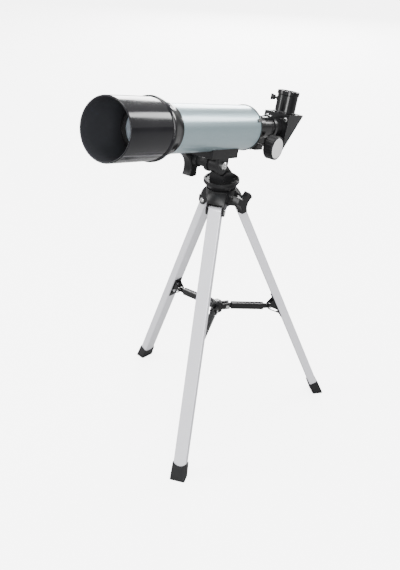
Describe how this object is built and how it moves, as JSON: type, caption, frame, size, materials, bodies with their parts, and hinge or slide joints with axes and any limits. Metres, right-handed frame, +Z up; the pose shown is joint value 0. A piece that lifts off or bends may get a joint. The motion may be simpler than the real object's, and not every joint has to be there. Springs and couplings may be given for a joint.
{
  "type": "tabletop refractor telescope",
  "caption": "Small refracting telescope with a dew shield, rack focuser and right-angle diagonal, on a pan and tilt head with a folding three-legged table stand.",
  "frame": {"origin": "the point on the floor under the pan axis, midway between the legs' pins", "axes": "+Z up along the pan axis, -Y the way the objective looks at rest, +X along the altitude axis towards the bolt head"},
  "size_m": [0.2949, 0.402, 0.5386],
  "materials": {
    "tube_paint": "pale blue-grey metallic, fine grain",
    "gloss_black": "gloss",
    "satin_black": "satin",
    "leg_aluminium": "satin anodised",
    "chrome_parts": "bright plated",
    "steel_parts": "plain",
    "silver_cap": "fine turned",
    "lens_glass": "coated",
    "mirror_glass": "polished",
    "foot_rubber": "moulded",
    "black_metal": "flat black",
    "gear_brass": "machined"
  },
  "bodies": {
    "tripod_head": {"tripod_hub": "satin_black", "leg_pins": "chrome_parts"},
    "pan_clamp": {"pan_clamp_knob": "satin_black", "pan_clamp_screw": "chrome_parts"},
    "pan_head": {"pan_head": "satin_black", "pan_spindle": "steel_parts", "spindle_retaining_ring": "steel_parts"},
    "telescope": {"main_tube": "tube_paint", "objective_cell": "gloss_black", "dew_shield": "gloss_black", "crown_lens": "lens_glass", "flint_lens": "lens_glass", "lens_spacer": "black_metal", "lens_retaining_ring": "black_metal", "aperture_stop": "black_metal", "focuser_body": "gloss_black", "pinion_cover": "satin_black", "pinion_cover_screws": "steel_parts", "tube_screws": "steel_parts", "tube_saddle": "satin_black", "saddle_screws": "steel_parts", "altitude_bolt": "chrome_parts", "altitude_sleeve": "satin_black"},
    "altitude_clamp": {"altitude_knob": "satin_black"},
    "drawtube": {"focus_drawtube": "gloss_black", "focus_rack": "satin_black"},
    "pinion": {"pinion_gear": "gear_brass", "pinion_shaft": "steel_parts", "focus_knob_left": "satin_black", "focus_knob_right": "satin_black", "knob_cap_left": "silver_cap", "knob_cap_right": "silver_cap"},
    "diagonal": {"diagonal_housing": "gloss_black", "diagonal_back_plate": "gloss_black", "diagonal_mirror": "mirror_glass", "diagonal_barrel": "satin_black", "diagonal_screws": "chrome_parts", "eyepiece_holder": "gloss_black"},
    "eyepiece_clamp": {"eyepiece_thumbscrew": "satin_black"},
    "spreader": {"spreader_hub": "satin_black", "spreader_hub_rivets": "chrome_parts", "spreader_screw": "steel_parts"},
    "leg_front": {"leg_tube_front": "leg_aluminium", "leg_foot_front": "foot_rubber", "leg_bracket_front": "black_metal"},
    "arm_front": {"spreader_arm_front": "black_metal", "spreader_arm_pin_front": "chrome_parts"},
    "leg_right": {"leg_tube_right": "leg_aluminium", "leg_foot_right": "foot_rubber", "leg_bracket_right": "black_metal"},
    "arm_right": {"spreader_arm_right": "black_metal", "spreader_arm_pin_right": "chrome_parts"},
    "leg_left": {"leg_tube_left": "leg_aluminium", "leg_foot_left": "foot_rubber", "leg_bracket_left": "black_metal"},
    "arm_left": {"spreader_arm_left": "black_metal", "spreader_arm_pin_left": "chrome_parts"}
  },
  "joints": [
    {"name": "pan", "type": "hinge", "parent": "tripod_head", "child": "pan_head", "pos_m": [0, 0, 0.37], "axis": [0, 0, 1], "continuous": true},
    {"name": "pan_clamp_turn", "type": "hinge", "parent": "tripod_head", "child": "pan_clamp", "pos_m": [0.03429, -0.007, 0.3545], "axis": [0.9798, -0.1999, 0], "range_deg": [0, 360]},
    {"name": "tilt", "type": "hinge", "parent": "pan_head", "child": "telescope", "pos_m": [0, -0.015, 0.39951], "axis": [1, 0, 0], "range_deg": [-30, 30]},
    {"name": "altitude_knob_turn", "type": "hinge", "parent": "telescope", "child": "altitude_clamp", "pos_m": [-0.035, -0.015, 0.39951], "axis": [-1, 0, 0], "range_deg": [0, 360]},
    {"name": "focus_slide", "type": "slide", "parent": "telescope", "child": "drawtube", "axis": [0, -0.9613, 0.2756], "range_m": [-0.028, 0.012]},
    {"name": "focus_knob_turn", "type": "hinge", "parent": "telescope", "child": "pinion", "pos_m": [0, 0.07798, 0.39906], "axis": [1, 0, 0], "range_deg": [-446.23, 191.59]},
    {"name": "diagonal_turn", "type": "hinge", "parent": "drawtube", "child": "diagonal", "pos_m": [0, 0.12593, 0.40664], "axis": [0, -0.9613, 0.2756], "continuous": true},
    {"name": "eyepiece_screw_turn", "type": "hinge", "parent": "diagonal", "child": "eyepiece_clamp", "pos_m": [-0.018, 0.15645, 0.4369], "axis": [-1, 0, 0], "range_deg": [0, 720]},
    {"name": "leg_front_fold", "type": "hinge", "parent": "tripod_head", "child": "leg_front", "pos_m": [0.00748, -0.02238, 0.3383], "axis": [0.9485, 0.3168, 0], "range_deg": [0, 17]},
    {"name": "leg_right_fold", "type": "hinge", "parent": "tripod_head", "child": "leg_right", "pos_m": [0.01565, 0.01767, 0.3383], "axis": [-0.7486, 0.663, 0], "range_deg": [0, 17]},
    {"name": "leg_left_fold", "type": "hinge", "parent": "tripod_head", "child": "leg_left", "pos_m": [-0.02312, 0.00472, 0.3383], "axis": [-0.1999, -0.9798, 0], "range_deg": [0, 17]},
    {"name": "spreader_rise", "type": "slide", "parent": "tripod_head", "child": "spreader", "axis": [0, 0, 1], "range_m": [0, 0.0456]},
    {"name": "arm_front_fold", "type": "hinge", "parent": "spreader", "child": "arm_front", "pos_m": [0.00459, -0.01375, 0.1773], "axis": [0.9485, 0.3168, 0], "range_deg": [0, 71.7]},
    {"name": "arm_right_fold", "type": "hinge", "parent": "spreader", "child": "arm_right", "pos_m": [0.00961, 0.01086, 0.1773], "axis": [-0.7486, 0.663, 0], "range_deg": [0, 71.7]},
    {"name": "arm_left_fold", "type": "hinge", "parent": "spreader", "child": "arm_left", "pos_m": [-0.01421, 0.0029, 0.1773], "axis": [-0.1999, -0.9798, 0], "range_deg": [0, 71.7]}
  ],
  "couplings": [
    {"joint": "focus_knob_turn", "follows": "focus_slide", "rad_per_m": 277.78},
    {"joint": "leg_right_fold", "follows": "leg_front_fold", "ratio": 1},
    {"joint": "leg_left_fold", "follows": "leg_front_fold", "ratio": 1},
    {"joint": "spreader_rise", "follows": "leg_front_fold", "m_per_rad": 0.15303},
    {"joint": "arm_front_fold", "follows": "leg_front_fold", "ratio": 4.2057},
    {"joint": "arm_right_fold", "follows": "leg_front_fold", "ratio": 4.2057},
    {"joint": "arm_left_fold", "follows": "leg_front_fold", "ratio": 4.2057}
  ]
}
